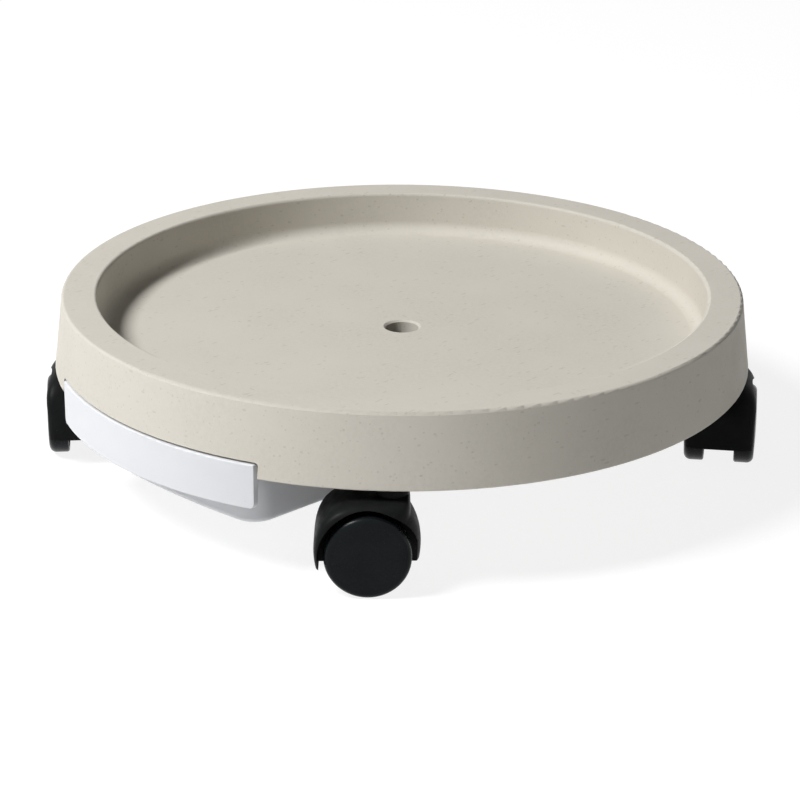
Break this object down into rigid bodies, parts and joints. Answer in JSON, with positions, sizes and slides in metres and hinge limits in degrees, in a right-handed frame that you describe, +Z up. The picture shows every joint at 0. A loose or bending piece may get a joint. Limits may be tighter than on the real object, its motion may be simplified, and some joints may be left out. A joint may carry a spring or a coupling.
{
  "type": "plant caddy",
  "caption": "Round rolling plant caddy: a shallow rimmed tray with a drain hole, a pull-out water drawer under it and hooded twin-wheel casters.",
  "frame": {"origin": "middle of the footprint, on the floor that the wheels stand on", "axes": "+Z up along the drain hole, -Y the way the drawer pulls out, +X to the right of a person facing the back from the drawer's side"},
  "size_m": [0.3486, 0.3486, 0.087],
  "materials": {
    "tray_moulding": "matte, speckled with fine dark fibres",
    "drawer_moulding": "smooth satin white",
    "rail_moulding": "matte",
    "hood_moulding": "fine satin grain, black",
    "wheel_moulding": "satin black",
    "plated_steel": "bright zinc plate"
  },
  "bodies": {
    "tray": {"tray": "tray_moulding", "drawer_rail_right": "rail_moulding", "drawer_rail_left": "rail_moulding", "rail_screws": "plated_steel", "front_right_stem": "plated_steel", "front_right_grip_ring": "plated_steel", "front_right_snap_ring": "plated_steel", "back_right_stem": "plated_steel", "back_right_grip_ring": "plated_steel", "back_right_snap_ring": "plated_steel", "back_left_stem": "plated_steel", "back_left_grip_ring": "plated_steel", "back_left_snap_ring": "plated_steel", "front_left_stem": "plated_steel", "front_left_grip_ring": "plated_steel", "front_left_snap_ring": "plated_steel"},
    "drawer": {"drawer": "drawer_moulding"},
    "front_right_caster": {"front_right_hood": "hood_moulding", "front_right_axle": "plated_steel"},
    "front_right_wheel_left": {"front_right_wheel_left": "wheel_moulding"},
    "front_right_wheel_right": {"front_right_wheel_right": "wheel_moulding"},
    "back_right_caster": {"back_right_hood": "hood_moulding", "back_right_axle": "plated_steel"},
    "back_right_wheel_left": {"back_right_wheel_left": "wheel_moulding"},
    "back_right_wheel_right": {"back_right_wheel_right": "wheel_moulding"},
    "back_left_caster": {"back_left_hood": "hood_moulding", "back_left_axle": "plated_steel"},
    "back_left_wheel_left": {"back_left_wheel_left": "wheel_moulding"},
    "back_left_wheel_right": {"back_left_wheel_right": "wheel_moulding"},
    "front_left_caster": {"front_left_hood": "hood_moulding", "front_left_axle": "plated_steel"},
    "front_left_wheel_left": {"front_left_wheel_left": "wheel_moulding"},
    "front_left_wheel_right": {"front_left_wheel_right": "wheel_moulding"}
  },
  "joints": [
    {"name": "drawer_slide", "type": "slide", "parent": "tray", "child": "drawer", "axis": [0, -1, 0], "range_m": [0, 0.15]},
    {"name": "front_right_swivel", "type": "hinge", "parent": "tray", "child": "front_right_caster", "pos_m": [0.11526, -0.11526, 0.047], "axis": [0, 0, 1], "continuous": true},
    {"name": "front_right_wheel_left_spin", "type": "hinge", "parent": "front_right_caster", "child": "front_right_wheel_left", "pos_m": [0.10767, -0.12322, 0.02], "axis": [0.7242, -0.6896, 0], "continuous": true},
    {"name": "front_right_wheel_right_spin", "type": "hinge", "parent": "front_right_caster", "child": "front_right_wheel_right", "pos_m": [0.10767, -0.12322, 0.02], "axis": [0.7242, -0.6896, 0], "continuous": true},
    {"name": "back_right_swivel", "type": "hinge", "parent": "tray", "child": "back_right_caster", "pos_m": [0.11526, 0.11526, 0.047], "axis": [0, 0, 1], "continuous": true},
    {"name": "back_right_wheel_left_spin", "type": "hinge", "parent": "back_right_caster", "child": "back_right_wheel_left", "pos_m": [0.12209, 0.10664, 0.02], "axis": [0.7837, 0.6211, 0], "continuous": true},
    {"name": "back_right_wheel_right_spin", "type": "hinge", "parent": "back_right_caster", "child": "back_right_wheel_right", "pos_m": [0.12209, 0.10664, 0.02], "axis": [0.7837, 0.6211, 0], "continuous": true},
    {"name": "back_left_swivel", "type": "hinge", "parent": "tray", "child": "back_left_caster", "pos_m": [-0.11526, 0.11526, 0.047], "axis": [0, 0, 1], "continuous": true},
    {"name": "back_left_wheel_left_spin", "type": "hinge", "parent": "back_left_caster", "child": "back_left_wheel_left", "pos_m": [-0.11009, 0.10555, 0.02], "axis": [0.8829, 0.4695, 0], "continuous": true},
    {"name": "back_left_wheel_right_spin", "type": "hinge", "parent": "back_left_caster", "child": "back_left_wheel_right", "pos_m": [-0.11009, 0.10555, 0.02], "axis": [0.8829, 0.4695, 0], "continuous": true},
    {"name": "front_left_swivel", "type": "hinge", "parent": "tray", "child": "front_left_caster", "pos_m": [-0.11526, -0.11526, 0.047], "axis": [0, 0, 1], "continuous": true},
    {"name": "front_left_wheel_left_spin", "type": "hinge", "parent": "front_left_caster", "child": "front_left_wheel_left", "pos_m": [-0.10659, -0.12203, 0.02], "axis": [0.6157, 0.788, 0], "continuous": true},
    {"name": "front_left_wheel_right_spin", "type": "hinge", "parent": "front_left_caster", "child": "front_left_wheel_right", "pos_m": [-0.10659, -0.12203, 0.02], "axis": [0.6157, 0.788, 0], "continuous": true}
  ]
}
